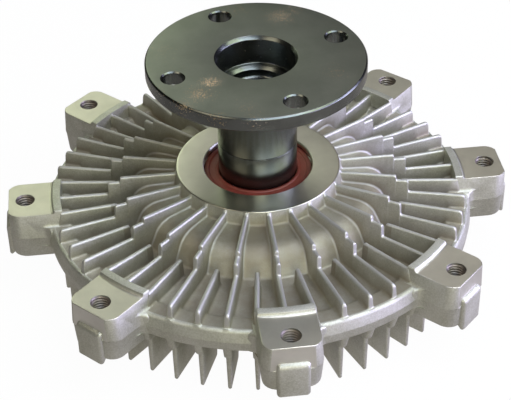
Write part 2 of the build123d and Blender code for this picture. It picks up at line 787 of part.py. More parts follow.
def arm_rivet_washer():
    plan = Circle(washer_r) - neck_hole()
    return Rot(0, 0, port_angle) * Pos(0, 0, arm_z + arm_thickness) * extrude(plan, washer_thickness)


def valve_o_ring():
    middle_r = valve_shaft_r + valve_running - fit_gap - valve_ring_section_r
    return Pos(0, 0, valve_ring_z) * Torus(middle_r, valve_ring_section_r)


# An open retaining clip that snaps into the valve shaft's groove from the side
def valve_clip():
    bore_r = valve_shaft_r - clip_groove_depth + clip_clearance
    plan = Circle(clip_r) - Circle(bore_r)
    plan = plan - Rectangle(2 * clip_r, clip_mouth, align=(Align.MIN, Align.CENTER))
    height = clip_width - 2 * clip_clearance
    return Pos(0, 0, clip_z + clip_clearance) * extrude(plan, height)


# Points of a flat spiral about the axis, at a set distance from its middle line
def spiral_points(offset):
    steps = round(coil_turns * coil_steps_a_turn)
    points = []
    for i in range(steps + 1):
        turns = coil_turns * i / steps
        angle = 2 * pi * turns
        radius = coil_start_r + coil_pitch * turns + offset
        points.append((radius * cos(angle), radius * sin(angle)))
    return points


# The bimetal strip: inner end across the shaft's slot, outer end in the cover's post
def bimetal_coil():
    inner = spiral_points(-coil_thickness / 2)
    outer = spiral_points(coil_thickness / 2)
    edges = Spline(*inner) + Line(inner[-1], outer[-1]) + Spline(*outer) + Line(outer[0], inner[0])
    inner_tang = Rectangle(
        coil_start_r + valve_neck_r + coil_thickness / 2, coil_thickness, align=(Align.MIN, Align.CENTER)
    )
    outer_tang = Rectangle(post_depth + coil_thickness, coil_thickness, align=(Align.MIN, Align.CENTER))
    turn = Rot(0, 0, coil_end_angle)
    plan = make_face(edges) + Pos(-valve_neck_r, 0) * inner_tang
    plan = plan + turn * Pos(coil_end_r, 0) * outer_tang
    return Pos(0, 0, coil_bottom_z) * extrude(plan, coil_top_z - coil_bottom_z)


# Every node with the function that makes it
parts = {
    "rear_housing": rear_housing,
    "drive_shaft": drive_shaft,
    "bearing_outer_ring": bearing_outer_ring,
    "bearing_inner_ring": bearing_inner_ring,
    "bearing_balls": bearing_balls,
    "bearing_cage": bearing_cage,
    "rear_bearing_seal": rear_bearing_seal,
    "front_bearing_seal": front_bearing_seal,
    "bearing_circlip": bearing_circlip,
    "rotor": rotor,
    "partition_plate": partition_plate,
    "partition_screws": partition_screws,
    "front_cover": front_cover,
    "cover_o_ring": cover_o_ring,
    "valve_shaft": valve_shaft,
    "valve_arm": valve_arm,
    "arm_rivet_washer": arm_rivet_washer,
    "valve_o_ring": valve_o_ring,
    "valve_clip": valve_clip,
    "bimetal_coil": bimetal_coil,
}

os.makedirs("parts", exist_ok=True)
for name, make in parts.items():
    made = make()
    solids = made if isinstance(made, list) else made.solids()
    export_step(Compound(children=list(solids)) if len(solids) > 1 else solids[0], f"parts/{name}.step")
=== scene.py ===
import bpy
import bmesh
import math
import numpy as np
from mathutils import Matrix, Vector


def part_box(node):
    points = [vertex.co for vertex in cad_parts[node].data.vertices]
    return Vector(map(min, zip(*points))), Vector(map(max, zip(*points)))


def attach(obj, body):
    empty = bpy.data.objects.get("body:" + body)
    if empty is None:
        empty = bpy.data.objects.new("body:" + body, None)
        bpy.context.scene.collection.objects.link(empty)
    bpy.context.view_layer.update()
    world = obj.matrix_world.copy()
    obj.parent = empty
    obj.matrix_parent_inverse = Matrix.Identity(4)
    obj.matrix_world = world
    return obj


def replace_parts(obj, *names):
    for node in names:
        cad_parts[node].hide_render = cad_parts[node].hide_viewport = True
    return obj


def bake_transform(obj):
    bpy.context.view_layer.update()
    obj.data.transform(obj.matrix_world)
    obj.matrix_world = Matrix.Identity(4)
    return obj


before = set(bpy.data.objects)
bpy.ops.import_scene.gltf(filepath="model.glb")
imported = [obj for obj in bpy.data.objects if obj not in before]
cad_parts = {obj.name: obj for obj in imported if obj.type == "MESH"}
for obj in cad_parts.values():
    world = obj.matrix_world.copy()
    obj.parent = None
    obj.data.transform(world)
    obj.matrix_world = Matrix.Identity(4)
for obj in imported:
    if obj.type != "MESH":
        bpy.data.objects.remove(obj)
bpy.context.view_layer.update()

# Lengths are in millimetres in the frame's axes, and become metres where a mesh is made
mm = 0.001
fullTurn = 2 * math.pi
weldDistance = 0.002    # points nearer to each other than this become one


# Mesh helpers
def newPiece(name, points, faces):
    mesh = bpy.data.meshes.new(name)
    mesh.from_pydata((np.asarray(points, float) * mm).tolist(), [], faces)
    mesh.update()
    mesh.shade_smooth()
    piece = bpy.data.objects.new(name, mesh)
    bpy.context.scene.collection.objects.link(piece)
    return piece


def dress(piece, *materials):  # this also puts every face on the first material
    piece.data.materials.clear()
    for material in materials:
        piece.data.materials.append(material)


def useModifiers(piece):  # bakes the modifiers into the mesh
    bpy.context.view_layer.update()
    shown = piece.evaluated_get(bpy.context.evaluated_depsgraph_get())
    finished = bpy.data.meshes.new_from_object(shown)
    piece.modifiers.clear()
    old = piece.data
    piece.data = finished
    bpy.data.meshes.remove(old)
    return piece


def tidyNormals(piece, sharpAngle=None):  # an edge that bends by more degrees is shaded sharp
    work = bmesh.new()
    work.from_mesh(piece.data)
    bmesh.ops.remove_doubles(work, verts=work.verts, dist=weldDistance * mm)
    bmesh.ops.recalc_face_normals(work, faces=work.faces)
    if sharpAngle is not None:
        for edge in work.edges:
            if len(edge.link_faces) == 2:
                edge.smooth = edge.calc_face_angle(0) < math.radians(sharpAngle)
    work.to_mesh(piece.data)
    work.free()
    return piece


def cutWith(piece, cutter):
    step = piece.modifiers.new("cut", "BOOLEAN")
    step.operation = "DIFFERENCE"
    step.solver = "EXACT"
    step.object = cutter
    useModifiers(piece)
    bpy.data.objects.remove(cutter)


def roundedPath(corners, arcSteps=4):  # corners are (radius from the axis, height, corner radius)
    longestCut = 0.49    # of the side next to a corner, so that two arcs never meet
    path = []
    for i, (r, z, bend) in enumerate(corners):
        here = np.array([r, z], float)
        if bend == 0 or i in (0, len(corners) - 1):
            path.append(here)
            continue
        back = np.array(corners[i - 1][:2]) - here
        ahead = np.array(corners[i + 1][:2]) - here
        backLength, aheadLength = np.linalg.norm(back), np.linalg.norm(ahead)
        back, ahead = back / backLength, ahead / aheadLength
        half = math.acos(max(-1.0, min(1.0, float(back @ ahead)))) / 2
        cut = min(bend / math.tan(half), longestCut * backLength, longestCut * aheadLength)
        size = cut * math.tan(half)
        middle = back + ahead
        centre = here + middle / np.linalg.norm(middle) * size / math.sin(half)
        start, end = here + back * cut - centre, here + ahead * cut - centre
        first = math.atan2(start[1], start[0])
        sweep = (math.atan2(end[1], end[0]) - first + math.pi) % fullTurn - math.pi
        for k in range(arcSteps + 1):
            angle = first + sweep * k / arcSteps
            path.append(centre + size * np.array([math.cos(angle), math.sin(angle)]))
    return np.array(path)


def gridFaces(rows, columns):  # rows of points, each closed to a ring
    faces = []
    for i in range(rows - 1):
        here, above = i * columns, (i + 1) * columns
        for j in range(columns):
            k = (j + 1) % columns
            faces.append((here + j, here + k, above + k, above + j))
    return faces


def cappedFaces(rows, columns):  # the same with both ends closed
    ends = [tuple(range(columns)), tuple(range((rows - 1) * columns, rows * columns))]
    return gridFaces(rows, columns) + ends


def evenAngles(count):
    return np.arange(count) * fullTurn / count


def lathe(name, corners, segments, sharpAngle=32):  # a surface turned about the shaft axis
    path = roundedPath(corners)
    angles = evenAngles(segments)
    points = [(r * math.cos(a), r * math.sin(a), z) for r, z in path for a in angles]
    return tidyNormals(newPiece(name, points, gridFaces(len(path), segments)), sharpAngle)


def turnedCopies(points, faces, count):  # copies of one mesh around the shaft axis
    points = np.asarray(points, float)
    allPoints, allFaces = [], []
    for angle in evenAngles(count):
        c, s = math.cos(angle), math.sin(angle)
        turned = points @ np.array([[c, s, 0], [-s, c, 0], [0, 0, 1]])
        start = len(allPoints) * len(points)
        allPoints.append(turned)
        allFaces += [tuple(v + start for v in face) for face in faces]
    return np.concatenate(allPoints), allFaces


# Camera: where the photograph was taken from
cameraView = {
    "lens": 102.38, "sensor": 36.0,
    "elevation": 36.943, "turn": -6.8, "roll": 0.8266,   # degrees
    "aim": (0, 0, 50.0),                                 # the middle of the boss ring
    "aside": -2.002, "above": 15.662, "away": 616.29,    # of that point, as the camera sees it
    "axisPixel": (263.13, 199.37), "photoSize": (511, 400),
    "clip": (0.05, 20),                                  # metres
}


def addCamera(view):
    e, roll, turn = (math.radians(view[k]) for k in ("elevation", "roll", "turn"))
    spin = np.array(Matrix.Rotation(turn, 3, "Z"))
    right = spin @ np.array([1.0, 0, 0])
    up = spin @ np.array([0, math.sin(e), math.cos(e)])
    ahead = spin @ np.array([0, math.cos(e), -math.sin(e)])
    toAim = view["aside"] * right + view["above"] * up + view["away"] * ahead
    place = np.array(view["aim"]) - toAim
    across = math.cos(roll) * right - math.sin(roll) * up
    upright = math.sin(roll) * right + math.cos(roll) * up
    camera = bpy.data.objects.new("camera", bpy.data.cameras.new("camera"))
    pose = Matrix.Identity(4)
    for column, axis in enumerate((across, upright, -ahead)):
        for row in range(3):
            pose[row][column] = axis[row]
    for row in range(3):
        pose[row][3] = place[row] * mm
    camera.matrix_world = pose
    camera.data.lens = view["lens"]
    camera.data.sensor_width = view["sensor"]
    camera.data.sensor_fit = "HORIZONTAL"
    width, height = view["photoSize"]
    camera.data.shift_x = (width / 2 - view["axisPixel"][0]) / width
    camera.data.shift_y = (view["axisPixel"][1] - height / 2) / width
    camera.data.clip_start, camera.data.clip_end = view["clip"]
    bpy.context.scene.collection.objects.link(camera)
    bpy.context.scene.camera = camera


addCamera(cameraView)
print("camera placed")


# Material helpers
def newMaterial(name):
    material = bpy.data.materials.new(name)
    material.use_nodes = True
    tree = material.node_tree
    return material, tree, tree.nodes["Principled BSDF"]


def feed(tree, node, inputs):  # each input gets a link from a socket, or a plain value
    for key, value in inputs.items():
        if isinstance(value, bpy.types.NodeSocket):
            tree.links.new(value, node.inputs[key])
        else:
            node.inputs[key].default_value = value


def addNode(tree, kind, inputs=None, **settings):
    node = tree.nodes.new(kind)
    for key, value in settings.items():
        setattr(node, key, value)
    feed(tree, node, inputs or {})
    return node


def noiseAt(tree, place, scale, detail, roughness):
    inputs = {"Vector": place, "Scale": scale, "Detail": detail, "Roughness": roughness}
    return addNode(tree, "ShaderNodeTexNoise", inputs).outputs["Fac"]


def rampOf(tree, value, stops):
    node = addNode(tree, "ShaderNodeValToRGB", {"Fac": value})
    ramp = node.color_ramp
    while len(ramp.elements) < len(stops):
        ramp.elements.new(0.5)
    for element, (place, colour) in zip(ramp.elements, stops):
        element.position = place
        element.color = (*colour, 1)
    return node.outputs["Color"]


def mapRange(tree, value, fromRange, toRange=(0.0, 1.0)):
    inputs = {"Value": value, "From Min": fromRange[0], "From Max": fromRange[1],
              "To Min": toRange[0], "To Max": toRange[1]}
    return addNode(tree, "ShaderNodeMapRange", inputs).outputs[0]


def mixColours(tree, amount, a, b, blend="MIX"):  # 6, 7 and output 2 are the node's colour sockets
    inputs = {0: amount, 6: a, 7: b}
    return addNode(tree, "ShaderNodeMix", inputs, data_type="RGBA", blend_type=blend).outputs[2]


def mathOf(tree, kind, a, b=0.0):
    return addNode(tree, "ShaderNodeMath", {0: a, 1: b}, operation=kind).outputs[0]


def objectPlace(tree):
    return addNode(tree, "ShaderNodeTexCoord").outputs["Object"]


def splitPlace(tree, place):
    return addNode(tree, "ShaderNodeSeparateXYZ", {"Vector": place}).outputs


def paintedValue(tree, name):
    return addNode(tree, "ShaderNodeAttribute", attribute_name=name).outputs["Fac"]


def bumpOf(tree, height, strength, distance, normal=None):
    inputs = {"Height": height, "Strength": strength, "Distance": distance}
    if normal is not None:
        inputs["Normal"] = normal
    return addNode(tree, "ShaderNodeBump", inputs).outputs["Normal"]


def dimmed(colour, share):
    return tuple(share * c for c in colour)


# In every look a noise is (scale, detail, roughness) and a bump is (strength, depth in metres)
castLook = {
    "light": (0.60, 0.60, 0.54), "dark": (0.46, 0.46, 0.40),
    "blotches": (55, 5.0, 0.6), "blotchRange": (0.32, 0.62),
    "grain": (1500, 2.0, 0.6), "grainBump": (0.55, 0.00012),
    "ripple": (260, 3.0, 0.5), "rippleBump": (0.25, 0.0003),
    "speckle": [(0.3, (0.35, 0.35, 0.33)), (0.7, (0.85, 0.85, 0.84))], "speckleShare": 0.32,
    # the valley colour is soil and painted shade in the valleys; the colour after it is a painted
    # highlight for the crests
    "valley": (0.365, 0.33, 0.265), "paintedHighlight": (0.58, 0.575, 0.56),
    "patches": (0.35, 0.6), "patchSoilShade": (1.0, 0.6),    # there is less soil and painted shade where a blotch is light
    "metallic": 0.9, "roughness": (0.46, 0.60), "valleyRoughness": 0.12,
}


def castAluminium(look):  # die-cast skin, duller in patches, with valleys darkened by soil and painted shade, and painted highlights on the crests
    material, tree, shader = newMaterial("castAluminium")
    place = objectPlace(tree)
    blotch = noiseAt(tree, place, *look["blotches"])
    low, high = look["blotchRange"]
    colour = rampOf(tree, blotch, [(low, look["dark"]), (high, look["light"])])
    grain = noiseAt(tree, place, *look["grain"])
    speckle = rampOf(tree, grain, look["speckle"])
    colour = mixColours(tree, look["speckleShare"], colour, speckle, "OVERLAY")
    # the valleys are darkened by soil and painted shade, less where a blotch is light
    patchy = mapRange(tree, blotch, look["patches"], look["patchSoilShade"])
    soilAndShade = mathOf(tree, "MULTIPLY", paintedValue(tree, "soilAndShade"), patchy)
    colour = mixColours(tree, soilAndShade, colour, (*look["valley"], 1))
    # painted highlight on the fins' crests and, on the dome, at their feet
    colour = mixColours(tree, paintedValue(tree, "paintedHighlight"), colour, (*look["paintedHighlight"], 1))
    rough = mapRange(tree, grain, (0.0, 1.0), look["roughness"])
    rough = mathOf(tree, "ADD", rough, mathOf(tree, "MULTIPLY", soilAndShade, look["valleyRoughness"]))
    normal = bumpOf(tree, noiseAt(tree, place, *look["ripple"]), *look["rippleBump"])
    normal = bumpOf(tree, grain, *look["grainBump"], normal)
    feed(tree, shader, {"Base Color": colour, "Metallic": look["metallic"], "Roughness": rough,
                        "Normal": normal})
    return material


turnedLook = {"colour": (0.67, 0.66, 0.585), "roughness": 0.30, "spread": 0.3}
padLook = {"colour": (0.75, 0.725, 0.64), "roughness": 0.42, "spread": 0.0}
endLook = {"colour": (0.82, 0.81, 0.76), "roughness": 0.46, "spread": 0.0}
toolMarks = {
    "marks": (3600, 4.0, 0.7), "markBump": (0.10, 0.00005), "markTurn": 0.25,
    "cloud": (90, 4.0, 0.55), "cloudRange": (0.3, 0.7), "cloudShade": 0.86,
}


def machinedAluminium(name, look, cut):  # turned about the shaft axis, with fine tool marks
    material, tree, shader = newMaterial(name)
    place = objectPlace(tree)
    position = splitPlace(tree, place)
    squares = [mathOf(tree, "MULTIPLY", position[k], position[k]) for k in (0, 1)]
    radius = mathOf(tree, "SQRT", mathOf(tree, "ADD", *squares))
    rings = addNode(tree, "ShaderNodeCombineXYZ", {"X": radius}).outputs[0]
    marks = noiseAt(tree, rings, *cut["marks"])
    cloud = noiseAt(tree, place, *cut["cloud"])
    low, high = cut["cloudRange"]
    shades = [(low, dimmed(look["colour"], cut["cloudShade"])), (high, look["colour"])]
    tangent = addNode(tree, "ShaderNodeTangent", direction_type="RADIAL", axis="Z").outputs[0]
    feed(tree, shader, {"Base Color": rampOf(tree, cloud, shades), "Metallic": 1.0,
                        "Roughness": look["roughness"], "Anisotropic": look["spread"],
                        "Anisotropic Rotation": cut["markTurn"], "Tangent": tangent,
                        "Normal": bumpOf(tree, marks, *cut["markBump"])})
    return material


blackLook = {
    "satin": {"steel": [(0.30, (0.197, 0.213, 0.192)), (0.72, (0.250, 0.268, 0.242))],
              "roughness": (0.32, 0.44)},
    "oiled": {"steel": [(0.30, (0.125, 0.133, 0.128)), (0.72, (0.200, 0.212, 0.204))],
              "roughness": (0.20, 0.30)},
    "cloud": (60, 5.0, 0.6), "grain": (1400, 2.0, 0.6), "grainBump": (0.18, 0.00006),
    # painted shade blackens the foot of the neck above the seal, and fades out between these two
    # heights
    "footShade": (0.012, 0.012, 0.012), "shadedFoot": (48.3, 51.3), "unshaded": (0.15, 1.0),
    "rust": [(0.25, (0.30, 0.17, 0.07)), (0.75, (0.74, 0.55, 0.33))],
    "specks": (1900, 3.0, 0.65), "speckEdge": (0.735, 0.765), "rustBump": (0.5, 0.00010),
    "rustRoughness": 0.4,
    # where hands have left rust: x, y, reach (mm), how thick the specks stand
    "rustPatches": [
        (14.0, 31.0, 13.0, 0.20), (20.0, 35.0, 9.0, 0.17), (-3.0, 39.0, 10.0, 0.15),
        (-20.1, -16.5, 8.0, 0.28), (-25.0, -24.0, 11.0, 0.22), (-32.0, -31.0, 9.0, 0.20),
        (-20.0, -40.0, 9.0, 0.16), (-41.0, -20.0, 8.0, 0.12), (-6.0, -43.0, 8.0, 0.14),
        (-8.0, -38.0, 12.0, 0.14), (30.0, -16.0, 10.0, 0.14), (-36.0, 10.0, 12.0, 0.12),
    ],
    "rustZ": 101.5,
}


def rustThickness(tree, place, look):  # of the thickest patch at each place
    thick = None
    for x, y, reach, amount in look["rustPatches"]:
        middle = (x * mm, y * mm, look["rustZ"] * mm)
        away = addNode(tree, "ShaderNodeVectorMath", {0: place, 1: middle}, operation="DISTANCE")
        near = mapRange(tree, away.outputs["Value"], (0.0, reach * mm), (amount, 0.0))
        thick = near if thick is None else mathOf(tree, "MAXIMUM", thick, near)
    return thick


def blackOxide(look, finish):  # blackened steel with painted shade at the foot of the neck, and tan rust where it has been handled
    material, tree, shader = newMaterial(finish + "BlackSteel")
    place = objectPlace(tree)
    cloud = noiseAt(tree, place, *look["cloud"])
    grain = noiseAt(tree, place, *look["grain"])
    speck = noiseAt(tree, place, *look["specks"])
    rusty = mapRange(tree, mathOf(tree, "ADD", speck, rustThickness(tree, place, look)),
                     look["speckEdge"])
    # painted shade: the neck darkens towards its foot in the boss's hole
    low, high = look["shadedFoot"]
    unshaded = mapRange(tree, splitPlace(tree, place)[2], (low * mm, high * mm), look["unshaded"])
    steel = rampOf(tree, cloud, look[finish]["steel"])
    steel = mixColours(tree, unshaded, (*look["footShade"], 1), steel)
    colour = mixColours(tree, rusty, steel, rampOf(tree, cloud, look["rust"]))
    rough = mapRange(tree, grain, (0.0, 1.0), look[finish]["roughness"])
    rough = mathOf(tree, "ADD", rough, mathOf(tree, "MULTIPLY", rusty, look["rustRoughness"]))
    metallic = mathOf(tree, "SUBTRACT", 1.0, rusty)
    normal = bumpOf(tree, grain, *look["grainBump"])
    normal = bumpOf(tree, rusty, *look["rustBump"], normal)
    feed(tree, shader, {"Base Color": colour, "Metallic": metallic, "Roughness": rough,
                        "Normal": normal})
    return material


plainLook = {
    "cloud": (120, 4.0, 0.6), "cloudRange": (0.3, 0.7), "grainDetail": (2.0, 0.6),
    "grainBump": (0.1, 0.00006), "roughnessSpread": (0.9, 1.15),
}


def plainMaterial(name, colour, metallic, roughness, grainScale=1200, variation=0.15):
    look = plainLook
    material, tree, shader = newMaterial(name)
    place = objectPlace(tree)
    cloud = noiseAt(tree, place, *look["cloud"])
    grain = noiseAt(tree, place, grainScale, *look["grainDetail"])
    low, high = look["cloudRange"]
    shade = rampOf(tree, cloud, [(low, dimmed(colour, 1 - variation)), (high, colour)])
    least, most = look["roughnessSpread"]
    rough = mapRange(tree, grain, (0.0, 1.0), (roughness * least, min(1.0, roughness * most)))
    feed(tree, shader, {"Base Color": shade, "Metallic": metallic, "Roughness": rough,
                        "Normal": bumpOf(tree, grain, *look["grainBump"])})
    return material


cast = castAluminium(castLook)
machined = machinedAluminium("machinedAluminium", turnedLook, toolMarks)
facedPad = machinedAluminium("facedPad", padLook, toolMarks)
milledEnd = machinedAluminium("milledEnd", endLook, toolMarks)
satinBlack = blackOxide(blackLook, "satin")
oiledBlack = blackOxide(blackLook, "oiled")
sealRubber = plainMaterial("sealRubber", (0.26, 0.050, 0.034), 0.0, 0.45, 900, 0.25)
ringRubber = plainMaterial("ringRubber", (0.02, 0.02, 0.02), 0.0, 0.5)
brightSteel = plainMaterial("brightSteel", (0.62, 0.62, 0.62), 1.0, 0.22)
darkSteel = plainMaterial("darkSteel", (0.14, 0.14, 0.15), 0.9, 0.42)
platedSteel = plainMaterial("platedSteel", (0.60, 0.58, 0.50), 1.0, 0.38)
bimetal = plainMaterial("bimetal", (0.50, 0.44, 0.33), 1.0, 0.33)
tappedAluminium = plainMaterial("tappedAluminium", (0.27, 0.235, 0.21), 0.9, 0.45)
cagePlastic = plainMaterial("cagePlastic", (0.62, 0.56, 0.42), 0.0, 0.5)
print("materials made")


# The housing's upper side: a surface over the polar grid, with the fins drawn up out of it
finField = {
    "pitches": 48,
    "skin": [(34.7, 49.5, 0), (35.75, 43.8, 1.1), (50.9, 43.15, 9.0), (56.5, 32.8, 1.4),
             (79.9, 32.8, 1.5), (81.6, 34.6, 1.2), (89.5, 34.6, 1.7), (90.75, 29.75, 0.1),
             (90.82, 29.5, 0)],
    "longTop": [(34.0, 48.5, 0), (58.6, 48.5, 0.7), (58.75, 46.3, 0.5), (63.8, 46.3, 0.7),
                (64.05, 40.8, 0.8), (87.9, 40.8, 1.5), (88.35, 34.6, 0.6), (89.2, 34.6, 0)],
    "shortTop": [(60.2, 32.8, 0), (60.95, 32.8, 0.6), (61.1, 40.8, 0.7), (87.9, 40.8, 1.5),
                 (88.35, 34.6, 0.6), (89.2, 34.6, 0)],
    "topHalfWidth": 0.92, "draft": 0.040, "draftFrom": 40.8,
    "topRound": 0.86, "footRound": 0.95, "steepest": 2.0, "roundSteps": 4, "skinArcSteps": 5,
    "gapPoints": 2,                                 # between two fins
    "extraRows": (37, 89, 8.0),                     # rows of points: from, to and how far apart
    "soilShadeFrom": 1.0, "soilShadeTo": 4.5, "soilShadeR": 88.0,  # soil and painted shade: from below a fin's crest, and out to this radius
    "domeEdge": 57.0, "domeFade": 1.5,              # on the dome the fins' feet get the painted highlight too, nearly as bright as their crests
    "domeShine": 0.8,                               # nearly as bright as their crests
    "fullHighlightHeight": 2.0,                              # a fin as high as this gets the painted highlight in full
    "lugEvery": 6, "hiddenFrom": 85.8,              # fins run into every lug's shoulder
    "sharpAngle": 50,
}


def paint(piece, name, values):  # one value for each point, which a material reads
    layer = piece.data.attributes.new(name, "FLOAT", "POINT")
    layer.data.foreach_set("value", values.ravel())


def housingTop(look):
    skin = roundedPath(look["skin"], look["skinArcSteps"])
    longTop = roundedPath(look["longTop"])
    shortTop = roundedPath(look["shortTop"])
    extra = np.arange(*look["extraRows"])
    radii = np.concatenate([skin[:, 0], longTop[:, 0], shortTop[:, 0], extra])
    radii = np.unique(np.round(radii[(radii >= skin[0, 0]) & (radii <= skin[-1, 0])], 3))
    base = np.interp(radii, skin[:, 0], skin[:, 1])
    slope = np.abs(np.gradient(base, radii))
    steep = np.minimum(np.sqrt(1 + slope ** 2), look["steepest"])
    pitch = fullTurn / look["pitches"]
    steps = np.linspace(0, math.pi / 2, look["roundSteps"] + 1)
    onDome = np.clip((look["domeEdge"] - radii) / look["domeFade"], 0, 1) * look["domeShine"]
    columns, paintedHighlight = [], []
    for fin in range(look["pitches"]):
        top = longTop if fin % 2 == 0 else shortTop
        height = np.interp(radii, top[:, 0], top[:, 1], left=0, right=0) - base
        if fin % look["lugEvery"] in (0, 1, look["lugEvery"] - 1):
            height[radii > look["hiddenFrom"]] = 0
        height = np.maximum(height, 0)
        share = np.minimum(1, height / (look["topRound"] + look["footRound"] * steep))
        topZ = base + height
        topHalf = look["topHalfWidth"] + 0 * radii
        footHalf = topHalf + look["draft"] * np.maximum(look["draftFrom"] - base, 0)
        half = [(topHalf - look["topRound"] * (1 - math.sin(a)),
                 topZ - look["topRound"] * share * (1 - math.cos(a))) for a in steps]
        half += [(footHalf + look["footRound"] * (1 - math.cos(a)),
                  base + look["footRound"] * steep * share * (1 - math.sin(a))) for a in steps]
        # painted highlight along each fin's crest and, on the dome, in its foot fillets
        raised = np.clip(height / look["fullHighlightHeight"], 0, 1)
        highlightShare = [raised * math.cos(a) for a in steps]
        highlightShare += [onDome * raised * math.sin(2 * a) ** 2 for a in steps]
        paintedHighlight += list(reversed(highlightShare)) + [raised] + highlightShare + [0 * radii] * look["gapPoints"]
        side = [(-s, z) for s, z in reversed(half)] + [(0 * radii, topZ)] + half
        middle = fin * pitch
        columns += [(middle + np.arcsin(s / radii), z) for s, z in side]
        reach = np.arcsin(half[-1][0] / radii)
        for k in range(1, look["gapPoints"] + 1):
            part = k / (look["gapPoints"] + 1)
            columns.append((middle + reach + (pitch - 2 * reach) * part, base))
    angle = np.array([c[0] for c in columns]).T
    height = np.array([c[1] for c in columns]).T
    across = radii[:, None]
    points = np.stack([across * np.cos(angle), across * np.sin(angle), height], -1)
    piece = newPiece("housingTop", points.reshape(-1, 3), gridFaces(*height.shape))
    crest = np.interp(radii, longTop[:, 0], longTop[:, 1])[:, None]
    # soil and painted shade, growing with the depth below the crests
    soilShadeSpan = look["soilShadeTo"] - look["soilShadeFrom"]
    sheltered = np.clip((crest - height - look["soilShadeFrom"]) / soilShadeSpan, 0, 1)
    paint(piece, "soilAndShade", sheltered * (across < look["soilShadeR"]))
    paint(piece, "paintedHighlight", np.array(paintedHighlight).T)
    return tidyNormals(piece, look["sharpAngle"])


# Below the die line: rim, plate and the rolled lip that holds the cover
under = {
    "skin": [(90.82, 29.5, 0), (90.75, 29.25, 0.1), (90.3, 25.0, 0.7), (86.85, 24.95, 0.6),
             (86.5, 28.3, 0.8), (65.0, 28.3, 1.0), (64.4, 25.8, 0.5), (63.0, 24.2, 0.8),
             (63.0, 19.4, 0.9), (62.0, 18.6, 0.6), (59.0, 18.55, 0.5), (58.9, 20.4, 0)],
    "segments": 384,
}

# The turned ring round the shaft, and the wall of the hole in it
boss = {
    "skin": [(22.85, 47.9, 0), (22.85, 49.4, 0.12), (23.4, 50.0, 0.12), (33.7, 50.0, 0),
             (34.68, 50.0, 0.5), (34.7, 49.1, 0)],
    "segments": 256,
}

lowerFin = {
    "count": 48, "shoulderZ": 18.6, "shoulderFade": 0.8,
    # radius or half width, and height
    "inner": [(67.5, 0), (66.0, 22.5), (64.0, 28.8)],
    "outer": [(86.2, 0), (86.25, 18.0), (88.3, 18.9), (90.2, 25.2), (90.2, 28.8)],
    "halfWidth": [(0.75, 0), (1.42, 25.0), (1.5, 28.8)],
    "rootSwell": 0.4, "flare": 1.1, "flareFromZ": 27.0, "flareHeight": 1.8,
    "tipRound": 1.0, "mostTipRound": 0.7,           # of the half width
    "endBend": 0.6, "endAngles": (90, 55, 20, -20, -55, -90),
    "levels": [28.8, 27.6, 26.4, 25.2, 23.5, 21.5, 20.0, 19.2, 18.8, 18.4, 18.0, 17.0, 14.0, 10.0,
               6.0, 3.0, 1.6, 0.8, 0.35, 0.1, 0.0],
    "sharpAngle": 60,
}


def sizeAt(z, line):  # from (size, height) pairs
    sizes, heights = zip(*line)
    return np.interp(z, heights, sizes)


def lowerFins(look):
    points = []
    ends = np.radians(look["endAngles"])
    fade = look["shoulderFade"]
    for z in look["levels"]:
        inner, outer, half = (sizeAt(z, look[k]) for k in ("inner", "outer", "halfWidth"))
        swell = look["rootSwell"] * np.clip((z - look["shoulderZ"] + fade / 2) / fade, 0, 1)
        tip = max(0.0, 1 - z / look["tipRound"])
        pull = look["tipRound"] * (1 - math.sqrt(max(0.0, 1 - tip * tip)))
        flare = look["flare"] * max(0.0, (z - look["flareFromZ"]) / look["flareHeight"]) ** 2
        width = half - min(pull, look["mostTipRound"] * half) + flare
        bend = look["endBend"] * (half + swell)
        for a in ends:
            x = outer - pull - bend + bend * math.cos(a)
            points.append((x, (width + swell) * math.sin(a), z))
        for a in ends:
            points.append((inner + pull + bend - bend * math.cos(a), -width * math.sin(a), z))
    rows, columns = len(look["levels"]), 2 * len(ends)
    faces = gridFaces(rows, columns)
    faces.append(tuple(range((rows - 1) * columns, rows * columns)))  # the tip; the root is open
    piece = newPiece("lowerFins", *turnedCopies(points, faces, look["count"]))
    return tidyNormals(piece, look["sharpAngle"])


housingSurface = housingTop(finField)
housingUnder = lathe("housingUnder", under["skin"], under["segments"])
bossRing = lathe("bossRing", boss["skin"], boss["segments"])
coolingFins = lowerFins(lowerFin)
for piece in (housingSurface, housingUnder, coolingFins):
    dress(piece, cast)
dress(bossRing, machined)
print("housing surface, rim and lower fins made")


